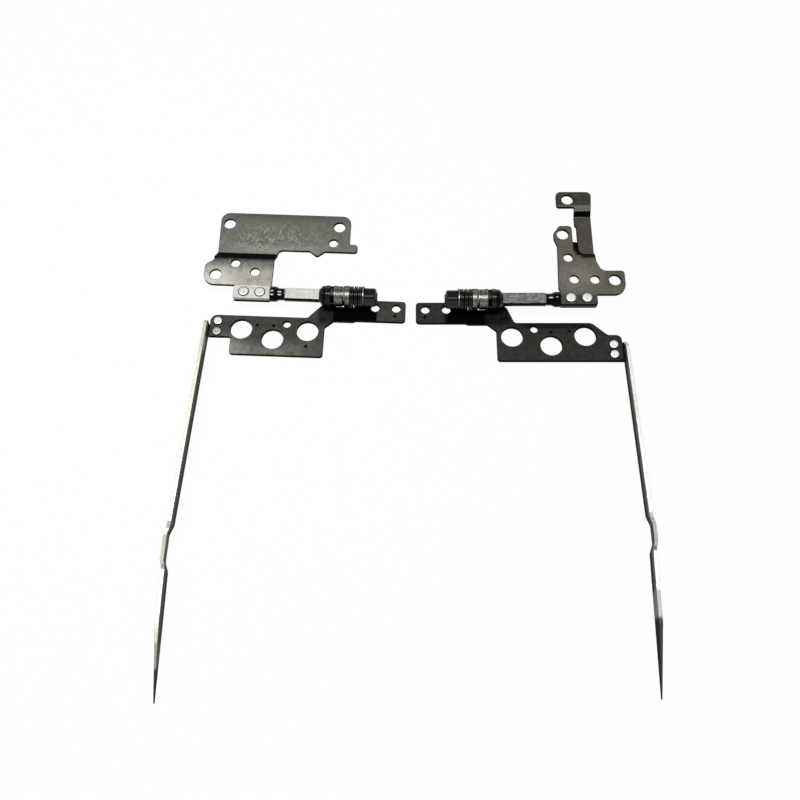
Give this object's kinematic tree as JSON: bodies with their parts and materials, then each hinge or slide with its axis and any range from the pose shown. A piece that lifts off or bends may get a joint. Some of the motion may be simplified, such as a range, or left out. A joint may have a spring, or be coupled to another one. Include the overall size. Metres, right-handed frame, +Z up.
{
  "type": "laptop hinge pair",
  "caption": "Left and right laptop lid hinges laid flat: base brackets, keyed shafts with cam and spring friction packs, display brackets and long screen rails.",
  "frame": {"origin": "bottom centre of the box around both hinges as they lie on the table", "axes": "+Z up from the table, +Y away from the viewer towards the base brackets, +X from the left hinge to the right one"},
  "size_m": [0.1218, 0.1394, 0.008],
  "materials": {
    "base_steel": "satin, scuffed",
    "black_steel": "blackened satin",
    "shaft_steel": "ground",
    "rivet_steel": "bright",
    "oiled_black": "black oxide, oily",
    "cam_steel": "polished, oily",
    "rail_steel": "rolled stainless"
  },
  "bodies": {
    "bases": {"left_base_bracket": "base_steel", "left_shaft": "shaft_steel", "left_base_rivets": "rivet_steel", "left_friction_washer": "oiled_black", "left_cam_follower": "cam_steel", "left_disc_springs": "oiled_black", "left_pressure_washer": "cam_steel", "left_lock_nut": "oiled_black", "right_base_bracket": "base_steel", "right_shaft": "shaft_steel", "right_base_rivets": "rivet_steel", "right_friction_washer": "oiled_black", "right_cam_follower": "cam_steel", "right_disc_springs": "oiled_black", "right_pressure_washer": "cam_steel", "right_lock_nut": "oiled_black"},
    "left_leaf": {"left_display_bracket": "black_steel", "left_fixed_cam": "cam_steel", "left_screen_rail": "rail_steel", "left_rail_rivets": "rivet_steel"},
    "right_leaf": {"right_display_bracket": "black_steel", "right_fixed_cam": "cam_steel", "right_screen_rail": "rail_steel", "right_rail_rivets": "rivet_steel"}
  },
  "joints": [
    {"name": "left_hinge", "type": "hinge", "parent": "bases", "child": "left_leaf", "pos_m": [-0.02431, 0.03615, 0.0051], "axis": [-0.9992, 0.0401, 0], "range_deg": [0, 180]},
    {"name": "right_hinge", "type": "hinge", "parent": "bases", "child": "right_leaf", "pos_m": [0.02536, 0.03497, 0.0051], "axis": [-1, 0, 0], "range_deg": [0, 180]}
  ]
}
